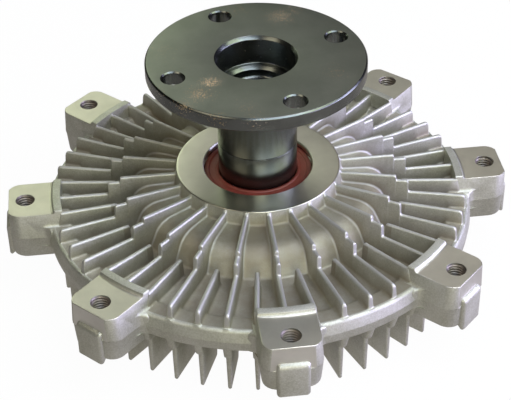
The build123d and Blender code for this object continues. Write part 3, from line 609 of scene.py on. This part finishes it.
# Fan lugs: cast outline lofted in height, then turned register and pad, milled end and hole
lug = {
    "count": 8, "innerR": 84.3, "halfWidth": 12.3, "cornerR": 5.6,
    "endX": 106.5, "underEndX": 106.2,              # above and below the die line
    "partingZ": 29.5, "upperDraft": 0.072, "lowerDraft": 0.085,
    "endDraft": 0.4,                                # of the lower draft, on the end of the lug
    "rimR": 90.6, "rootRound": 3.2, "footRound": 1.2, "footX": 93.0, "footFade": 3.0,
    "registerR": 87.5, "registerRound": 3.0, "padZ": 40.6, "flatX": 106.0,
    "boltCircleR": 99.0, "tapR": 4.0, "mouthR": 4.08, "mouthDepth": 0.35,
    # where the outline has its points: along the side, round the corner and back along the shoulder
    "rootStep": 1.5, "flareSpan": (1.6, 0.2), "flareSteps": 9, "sideXs": (94.5, 97.5),
    "cornerAngles": (15, 30, 45, 60, 75, 90), "shoulderParts": (-0.6, -0.2, 0.2, 0.6),
    # height, inset of the outline, share of the flare at the rim, share of the foot fillet
    "levels": [(19.0, 1.0, 0, 0), (19.2, 0.5, 0, 0), (19.7, 0.12, 0, 0), (20.4, 0, 0, 0),
               (24.0, 0, 0, 0), (24.6, 0, 0, 0.4), (25.0, 0, 0, 1.0), (25.02, 0, 0.75, 0),
               (25.2, 0, 0.93, 0), (25.7, 0, 1, 0), (29.2, 0, 1, 0), (29.38, -0.04, 1, 0),
               (29.5, -0.07, 1, 0), (29.62, -0.04, 1, 0), (29.8, 0, 1, 0), (32.9, 0, 1, 0),
               (33.5, 0, 0.93, 0), (34.0, 0, 0.76, 0), (34.3, 0, 0.56, 0), (34.5, 0, 0.32, 0),
               (34.58, 0, 0.14, 0), (34.6, 0, 0, 1.0), (34.75, 0, 0, 0.55), (35.1, 0, 0, 0.22),
               (35.8, 0, 0, 0), (38.0, 0, 0, 0), (41.6, 0, 0, 0), (41.9, 0.12, 0, 0),
               (42.0, 0.4, 0, 0)],
    # the cutters reach past the blank on every side
    "cutX": 115, "cutY": 20, "cutBottomZ": 17, "cutTopZ": 50, "padCutTopZ": 43.5,
    "padCutAngle": 13, "padCutSteps": 41, "padArcSteps": 5, "drillSegments": 48,
    # broken edges: the sharp ones that are clear of the hole, the rim and the lug's underside
    "edgeBreak": 0.32, "edgeSteps": 2, "edgeAngle": 38, "clearOfHole": 0.5, "clearOfRim": 1,
    "clearBelow": 4, "leastEdge": 0.03, "leastBend": 0.6,
    # which faces count as pad or milled end, by place and by how straight they face
    "padSlack": 0.5, "registerSlack": 0.1, "endSlack": 0.05, "padFacing": 0.8, "endFacing": 0.9,
    "sharpAngle": 30, "flatArea": 20, "levelFacing": 0.9995,
}


def lugLoop(look, z, inset, flareShare, footShare):  # one closed outline of the lug at a height
    draft = look["upperDraft"] if z > look["partingZ"] else look["lowerDraft"]
    half = look["halfWidth"] - draft * abs(z - look["partingZ"]) - inset
    below = look["endDraft"] * draft * (look["partingZ"] - z)
    end = (look["endX"] if below < 0 else look["underEndX"] - below) - inset
    reach = look["rimR"] + look["rootRound"]
    centreX = math.sqrt(reach ** 2 - (half + look["rootRound"]) ** 2)
    rimX = centreX * look["rimR"] / reach
    start = math.sqrt(look["innerR"] ** 2 - half ** 2)
    corner = end - look["cornerR"]
    before, after = look["flareSpan"]
    flareXs = np.linspace(rimX - before, centreX + after, look["flareSteps"])
    side = []
    for x in (start, start + look["rootStep"], *flareXs, *look["sideXs"], corner):
        part = min(max((centreX - x) / look["rootRound"], 0), 1)
        flare = look["rootRound"] * (1 - math.sqrt(max(0.0, 1 - part * part)))
        foot = look["footRound"] * min(max((look["footX"] - x) / look["footFade"], 0), 1)
        side.append((x, half + flareShare * flare + footShare * foot))
    for a in np.radians(look["cornerAngles"]):
        side.append((corner + look["cornerR"] * math.sin(a),
                     half - look["cornerR"] * (1 - math.cos(a))))
    side += [(end, (half - look["cornerR"]) / 2), (end, 0)]
    loop = side + [(x, -y) for x, y in reversed(side[:-1])]
    for part in look["shoulderParts"]:
        y = part * half
        loop.append((math.sqrt(look["innerR"] ** 2 - y * y), y))
    return [(x, y, z) for x, y in loop]


def sectorSolid(name, section, halfAngle, steps):  # a closed (r, z) section swept round the axis
    points = []
    for a in np.linspace(-halfAngle, halfAngle, steps):
        points += [(r * math.cos(a), r * math.sin(a), z) for r, z in section]
    return tidyNormals(newPiece(name, points, cappedFaces(steps, len(section))))


def boxSolid(name, low, high):
    corners = [(x, y, z) for x in (low[0], high[0]) for y in (low[1], high[1])
               for z in (low[2], high[2])]
    faces = [(0, 1, 3, 2), (4, 6, 7, 5), (0, 4, 5, 1), (2, 3, 7, 6), (0, 2, 6, 4), (1, 5, 7, 3)]
    return tidyNormals(newPiece(name, corners, faces))


def lugBlank(look):
    loops = [lugLoop(look, *level) for level in look["levels"]]
    points = [p for loop in loops for p in loop]
    return tidyNormals(newPiece("lugBlank", points, cappedFaces(len(loops), len(loops[0]))))


def machinedLug(look):
    piece = lugBlank(look)
    innerR, padZ, top = look["registerR"], look["padZ"], look["padCutTopZ"]
    section = roundedPath([(innerR, top, 0), (innerR, padZ, look["registerRound"]),
                           (look["cutX"], padZ, 0), (look["cutX"], top, 0)], look["padArcSteps"])
    halfAngle = math.radians(look["padCutAngle"])
    cutWith(piece, sectorSolid("padCut", section, halfAngle, look["padCutSteps"]))
    cutWith(piece, boxSolid("endCut", (look["flatX"], -look["cutY"], look["partingZ"]),
                            (look["cutX"], look["cutY"], look["cutTopZ"])))
    tapR, mouthR, bottom, top = look["tapR"], look["mouthR"], look["cutBottomZ"], look["cutTopZ"]
    side = [(0, bottom, 0), (tapR, bottom, 0), (tapR, padZ - look["mouthDepth"], 0),
            (mouthR, padZ, 0), (mouthR, top, 0), (0, top, 0)]
    drill = lathe("tapCut", side, look["drillSegments"])
    drill.data.transform(Matrix.Translation((look["boltCircleR"] * mm, 0, 0)))
    cutWith(piece, drill)
    return piece


def breakEdges(piece, look):
    work = bmesh.new()
    work.from_mesh(piece.data)
    bmesh.ops.remove_doubles(work, verts=work.verts, dist=look["leastEdge"] * mm)
    bmesh.ops.dissolve_limit(work, angle_limit=math.radians(look["leastBend"]), verts=work.verts,
                             edges=work.edges)
    weight = work.edges.layers.float.new("bevel_weight_edge")
    holeR = look["mouthR"] + look["clearOfHole"]
    rimR = look["innerR"] + look["clearOfRim"]
    lowZ = look["partingZ"] - look["clearBelow"]
    sharpest = math.radians(look["edgeAngle"])
    for edge in work.edges:
        middle = (edge.verts[0].co + edge.verts[1].co) / 2 / mm
        atHole = math.hypot(middle.x - look["boltCircleR"], middle.y) < holeR
        atRim = math.hypot(middle.x, middle.y) < rimR or middle.z < lowZ
        sharp = len(edge.link_faces) == 2 and edge.calc_face_angle(0) > sharpest
        edge[weight] = 1.0 if sharp and not atHole and not atRim else 0.0
    work.to_mesh(piece.data)
    work.free()
    rounding = piece.modifiers.new("edge", "BEVEL")
    rounding.width = look["edgeBreak"] * mm
    rounding.segments = look["edgeSteps"]
    rounding.limit_method = "WEIGHT"
    rounding.use_clamp_overlap = False
    return useModifiers(piece)


def markMachinedFaces(piece, look):  # material 1 on the pad and its register, 2 on the milled end
    for polygon in piece.data.polygons:
        middle = Vector(polygon.center) / mm
        away = math.hypot(middle.x, middle.y)
        onPad = (middle.z > look["padZ"] - look["padSlack"]
                 and away > look["registerR"] - look["registerSlack"]
                 and polygon.normal.z > look["padFacing"])
        onEnd = (middle.x > look["flatX"] - look["endSlack"] and middle.z > look["partingZ"]
                 and abs(polygon.normal.x) > look["endFacing"])
        polygon.material_index = 1 if onPad else 2 if onEnd else 0


def keepFlat(piece, look):  # rounded edges beside a machined face don't bend its shading
    least = look["flatArea"] * mm * mm
    work = bmesh.new()
    work.from_mesh(piece.data)
    for face in work.faces:
        level = face.normal.z > look["levelFacing"]
        if face.material_index and (level or face.calc_area() > least):
            for edge in face.edges:
                edge.smooth = False
    work.to_mesh(piece.data)
    work.free()
    return piece


tab = {
    # x and z down the middle, and which way the skin draws in towards the rounded sides
    "side": [(103.0, 19.3, 0, 1), (104.4, 19.1, 0, 1), (106.5, 17.2, -0.3, 1),
             (107.3, 17.0, -0.7, 0.8), (107.8, 17.6, -1, 0.4), (107.8, 30.6, -1, 0),
             (107.6, 31.6, -1, -0.3), (107.0, 32.5, -0.8, -0.7), (106.0, 33.1, -0.4, -1),
             (103.0, 33.5, 0, -1)],
    "halfWidth": 6.5, "edgeRound": 1.5, "roundSteps": 5,
}


def castTab(look):
    turns = np.linspace(0, math.pi / 2, look["roundSteps"] + 1)
    half, bend = look["halfWidth"], look["edgeRound"]
    ends = [(half - bend * (1 - math.cos(a)), bend * (1 - math.sin(a))) for a in turns]
    rows = [(-y, inset) for y, inset in ends] + [(y, inset) for y, inset in reversed(ends)]
    points = [(x + inset * dx, y, z + inset * dz) for y, inset in rows
              for x, z, dx, dz in look["side"]]
    return tidyNormals(newPiece("tabBlank", points, cappedFaces(len(rows), len(look["side"]))))


def fanLugs(look):
    one = breakEdges(machinedLug(look), look)
    dress(one, cast, facedPad, milledEnd)
    markMachinedFaces(one, look)
    tabPiece = castTab(tab)
    work = bmesh.new()
    for angle in evenAngles(look["count"]):
        turn = Matrix.Rotation(angle, 4, "Z")
        for source in (one, tabPiece):
            copy = source.data.copy()
            copy.transform(turn)
            work.from_mesh(copy)
            bpy.data.meshes.remove(copy)
    for spent in (one, tabPiece):
        bpy.data.objects.remove(spent)
    piece = newPiece("fanLugs", [], [])
    dress(piece, cast, facedPad, milledEnd)
    work.to_mesh(piece.data)    # after dress, so that the faces keep their materials
    work.free()
    piece.data.shade_smooth()
    return keepFlat(tidyNormals(piece, look["sharpAngle"]), look)


thread = {
    "pitch": 1.25, "rootR": 4.03, "crestR": 3.4, "topZ": 40.35, "depth": 13.0,
    "rootFlat": 0.12, "flank": 0.70, "around": 40, "perPitch": 6,
}


def lugThreads(look, lugLook):
    rows = int(look["depth"] / look["pitch"] * look["perPitch"])
    points = []
    for i in range(rows + 1):
        z = look["topZ"] - i * look["pitch"] / look["perPitch"]
        runIn = min(1.0, (i + 0.5) / look["perPitch"])      # the first turn grows out of the wall
        for a in evenAngles(look["around"]):
            wave = abs(((z / look["pitch"] - a / fullTurn) % 1.0) * 2 - 1)
            lift = min(max((wave - look["rootFlat"]) / look["flank"], 0), 1)
            r = look["rootR"] - (look["rootR"] - look["crestR"]) * lift * runIn
            points.append((lugLook["boltCircleR"] + r * math.cos(a), r * math.sin(a), z))
    faces = gridFaces(rows + 1, look["around"])
    piece = newPiece("lugThreads", *turnedCopies(points, faces, lugLook["count"]))
    dress(piece, tappedAluminium)
    return tidyNormals(piece)


lugs = fanLugs(lug)
threads = lugThreads(thread, lug)
print("fan lugs and threads made")


# Drive shaft: neck and pump flange in one turned piece, with the bolt holes drilled after
shaft = {
    "skin": [(0, 58.4, 0), (7.5, 62.2, 0), (7.5, 85.0, 0.8), (12.4, 85.0, 1.4), (12.4, 88.5, 0.3),
             (13.8, 89.8, 0.25), (15.7, 89.8, 0.4), (15.7, 100.9, 0.3), (17.0, 102.2, 0.25),
             (44.35, 102.2, 0.5), (45.0, 101.5, 0.4), (45.0, 96.6, 0.4), (44.4, 96.0, 0.4),
             (16.6, 96.0, 1.6), (16.6, 63.12, 0.12), (16.25, 62.9, 0.08), (16.6, 62.68, 0.12),
             (16.6, 48.02, 0.3), (12.48, 48.02, 0), (12.48, 33.0, 0), (11.9, 33.0, 0),
             (11.9, 24.6, 0), (13.8, 24.6, 0), (11.9, 23.4, 0), (0, 23.4, 0)],
    "segments": 256, "sharpAngle": 28,
    "topZ": 102.2, "bottomZ": 96.0, "pilotR": 17.0, "faceSlack": 0.05,
    "boltCircleR": 36.25, "holes": 4, "phase": 17.8, "holeR": 4.5, "mouthR": 5.0, "holeBreak": 0.5,
    "drillFrom": 90, "drillTo": 110, "drillSegments": 56,
}


def driveShaft(look):
    piece = lathe("driveShaft", look["skin"], look["segments"], None)
    holeR, mouthR, edge = look["holeR"], look["mouthR"], look["holeBreak"]
    low, high = look["bottomZ"], look["topZ"]
    drill = [(0, look["drillFrom"], 0), (mouthR, look["drillFrom"], 0), (mouthR, low, 0),
             (holeR, low + edge, 0), (holeR, high - edge, 0),
             (mouthR, high, 0), (mouthR, look["drillTo"], 0), (0, look["drillTo"], 0)]
    for k in range(look["holes"]):
        cutter = lathe("drill", drill, look["drillSegments"])
        angle = math.radians(look["phase"] + 360 * k / look["holes"])
        out = look["boltCircleR"]
        place = (out * math.cos(angle) * mm, out * math.sin(angle) * mm, 0)
        cutter.data.transform(Matrix.Translation(place))
        cutWith(piece, cutter)
    dress(piece, satinBlack, oiledBlack)
    for polygon in piece.data.polygons:  # the flange's upper face is satin, the rest is oily
        middle = Vector(polygon.center) / mm
        away = math.hypot(middle.x, middle.y)
        onFace = middle.z > high - look["faceSlack"] and away > look["pilotR"]
        polygon.material_index = 0 if onFace else 1
    return tidyNormals(piece, look["sharpAngle"])


axle = driveShaft(shaft)
print("drive shaft made")

# Rear seal of the bearing, seen in the hole round the shaft
seal = {
    "skin": [(16.7, 46.6, 0), (16.7, 47.75, 0.3), (17.6, 47.85, 0.3), (18.1, 47.35, 0.3),
             (20.6, 47.3, 0.3), (21.1, 47.75, 0.3), (22.6, 47.75, 0.3), (22.8, 47.3, 0)],
    "segments": 192,
}
rearSeal = lathe("rearSeal", seal["skin"], seal["segments"])
dress(rearSeal, sealRubber)
print("rear seal made")

# Bimetal coil: the inner tang turns with the valve shaft, the outer tang stays in the cover's
# post, and the strip between them is made in half turns
coil = {
    "startR": 4.9, "pitch": 3.0, "halfTurns": 7, "stepsEach": 24, "thickness": 1.1, "edge": 0.12,
    "innerTang": (-2.6, 5.45), "outerTang": (-14.85, -20.7), "sharpAngle": 30,
}


def strip(name, line, look):  # a flat strip on its edge along a line, as high as the coil's solid
    low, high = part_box("bimetal_coil")
    half, edge = look["thickness"] / 2, look["edge"]
    bottom, top = low[2] / mm, high[2] / mm
    section = [(-half, bottom + edge), (edge - half, bottom), (half - edge, bottom),
               (half, bottom + edge), (half, top - edge), (half - edge, top), (edge - half, top),
               (-half, top - edge)]
    line = np.array(line, float)
    along = np.gradient(line, axis=0)
    along /= np.linalg.norm(along, axis=1)[:, None]
    across = np.stack([along[:, 1], -along[:, 0]], -1)
    points = [(*(p + offset * n), z) for p, n in zip(line, across) for offset, z in section]
    piece = newPiece(name, points, cappedFaces(len(line), len(section)))
    dress(tidyNormals(piece, look["sharpAngle"]), bimetal)
    return piece


def woundCoil(look):
    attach(strip("coilInnerTang", [(x, 0) for x in look["innerTang"]], look), "valve")
    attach(strip("coilOuterTang", [(x, 0) for x in look["outerTang"]], look), "housing")
    turns = []
    for k in range(look["halfTurns"]):
        line = []
        for angle in np.linspace(k * math.pi, (k + 1) * math.pi, look["stepsEach"] + 1):
            radius = look["startR"] + look["pitch"] * angle / fullTurn
            line.append((radius * math.cos(angle), radius * math.sin(angle)))
        turns.append(strip("coilTurn" + str(k + 1), line, look))
        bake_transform(turns[k])
    return turns


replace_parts(woundCoil(coil)[0], "bimetal_coil")
print("coil made")

nodeMaterials = {
    "front_cover": cast, "cover_o_ring": ringRubber, "bearing_outer_ring": brightSteel,
    "bearing_inner_ring": brightSteel, "bearing_balls": brightSteel, "bearing_cage": cagePlastic,
    "front_bearing_seal": sealRubber, "bearing_circlip": darkSteel, "rotor": machined,
    "partition_plate": platedSteel, "partition_screws": platedSteel, "valve_shaft": brightSteel,
    "valve_arm": platedSteel, "arm_rivet_washer": platedSteel, "valve_o_ring": ringRubber,
    "valve_clip": darkSteel,
}
for node, material in nodeMaterials.items():
    dress(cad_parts[node], material)

for piece in (housingSurface, housingUnder, coolingFins, bossRing, lugs, threads, rearSeal):
    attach(piece, "housing")
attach(axle, "shaft")
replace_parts(housingSurface, "rear_housing")
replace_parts(axle, "drive_shaft")
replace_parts(rearSeal, "rear_bearing_seal")
print("pieces joined to their bodies")


# Studio: a floor that is white to the eye and grey in the metal, in a dark room with soft boxes
studio = {
    "floorSize": 6.0, "floorTone": (0.24, 0.24, 0.235), "floorRoughness": 0.8,
    "floorPaper": (0.9, 0.9, 0.9), "floorGlow": 0.97,       # share of plain white to the eye
    "floorShine": (0.366, 0.342, 0.328),                    # in the metal, where the floor is
    "windowSide": (0.25, -0.10), "shineRange": (0.72, 1.38),    # lighter towards the window
    "lampRing": 1.6, "aimZ": 50.0,
    "lamps": [
        # name, angle about the part from +X, height angle, width, height, watts, colour
        ("windowBox", -22.5, 10, 1.33, 0.56, 21.5, (0.68, 0.63, 1.0)),
        ("rightLowBox", 0, 20, 0.8, 0.6, 9.5, (0.66, 0.66, 1.0)),
        ("rightBox", -22.5, 45.5, 0.93, 0.53, 5.5, (0.89, 1.0, 0.75)),
        ("frontRightBox", -70, 51, 1.1, 0.6, 9.5, (0.77, 0.88, 1.0)),
        ("frontLowBox", -90, 20, 0.8, 0.6, 6.6, (1.0, 0.97, 0.72)),
        ("frontLeftBox", -150, 50, 0.8, 0.6, 3.2, (1.0, 0.90, 0.68)),
        ("topBox", 0, 75, 0.8, 0.6, 9.0, (0.86, 0.88, 1.0)),
        ("backLeftBox", 112.5, 28, 1.17, 0.45, 3.6, (0.90, 1.0, 0.70)),
        ("backBox", 86, 43, 0.8, 0.6, 0.86, (1.0, 0.98, 0.92)),
        ("backRightBox", 55, 42, 0.8, 0.6, 0.45, (1.0, 0.84, 0.57)),
    ],
    "room": [(0.0, (0.01, 0.01, 0.01)), (1.0, (0.02, 0.02, 0.02))], "roomHeights": (-0.2, 1.0),
}


def rayKind(tree, kind):
    return addNode(tree, "ShaderNodeLightPath").outputs[kind]


def mixShaders(tree, amount, a, b):
    inputs = {0: amount, 1: a.outputs[0], 2: b.outputs[0]}
    return addNode(tree, "ShaderNodeMixShader", inputs)


def addFloor(look):
    size = look["floorSize"] / 2 / mm
    corners = [(-size, -size, 0), (size, -size, 0), (size, size, 0), (-size, size, 0)]
    floor = newPiece("floor", corners, [(0, 1, 2, 3)])
    material, tree, shader = newMaterial("floorPaper")
    feed(tree, shader, {"Base Color": (*look["floorTone"], 1), "Roughness": look["floorRoughness"]})
    paper = addNode(tree, "ShaderNodeBsdfDiffuse", {"Color": (*look["floorPaper"], 1)})
    white = addNode(tree, "ShaderNodeEmission", {"Color": (1, 1, 1, 1), "Strength": 1.0})
    seen = mixShaders(tree, look["floorGlow"], paper, white)
    towards = addNode(tree, "ShaderNodeVectorMath",
                      {0: objectPlace(tree), 1: (*look["windowSide"], 0)},
                      operation="DOT_PRODUCT").outputs["Value"]
    reach = sum(c * c for c in look["windowSide"])
    shine = mapRange(tree, towards, (-reach, reach), look["shineRange"])
    glare = addNode(tree, "ShaderNodeEmission",
                    {"Color": (*look["floorShine"], 1), "Strength": shine})
    unseen = mixShaders(tree, rayKind(tree, "Is Glossy Ray"), shader, glare)
    mix = mixShaders(tree, rayKind(tree, "Is Camera Ray"), unseen, seen)
    tree.links.new(mix.outputs[0], tree.nodes["Material Output"].inputs["Surface"])
    dress(floor, material)


def addLamps(look):
    aim = Vector((0, 0, look["aimZ"] * mm))
    for name, around, above, width, height, power, colour in look["lamps"]:
        a, e = math.radians(around), math.radians(above)
        towards = Vector((math.cos(e) * math.cos(a), math.cos(e) * math.sin(a), math.sin(e)))
        place = aim + look["lampRing"] * towards
        lamp = bpy.data.lights.new(name, "AREA")
        lamp.shape = "RECTANGLE"
        lamp.size = width
        lamp.size_y = height
        lamp.energy = power
        lamp.color = colour
        holder = bpy.data.objects.new(name, lamp)
        holder.location = place
        holder.rotation_euler = (aim - place).to_track_quat("-Z", "Y").to_euler()
        bpy.context.scene.collection.objects.link(holder)


def addSurround(look):  # the room that the metal reflects; to the eye the background is plain white
    world = bpy.data.worlds.new("surround")
    bpy.context.scene.world = world
    world.use_nodes = True
    tree = world.node_tree
    back = tree.nodes["Background"]
    direction = addNode(tree, "ShaderNodeTexCoord").outputs["Generated"]
    part = mapRange(tree, splitPlace(tree, direction)[2], look["roomHeights"])
    tree.links.new(rampOf(tree, part, look["room"]), back.inputs["Color"])
    white = addNode(tree, "ShaderNodeBackground", {"Color": (1, 1, 1, 1), "Strength": 1.0})
    mix = mixShaders(tree, rayKind(tree, "Is Camera Ray"), back, white)
    tree.links.new(mix.outputs[0], tree.nodes["World Output"].inputs["Surface"])


addFloor(studio)
addLamps(studio)
addSurround(studio)
bpy.context.scene.view_settings.view_transform = "Standard"
print("studio set")
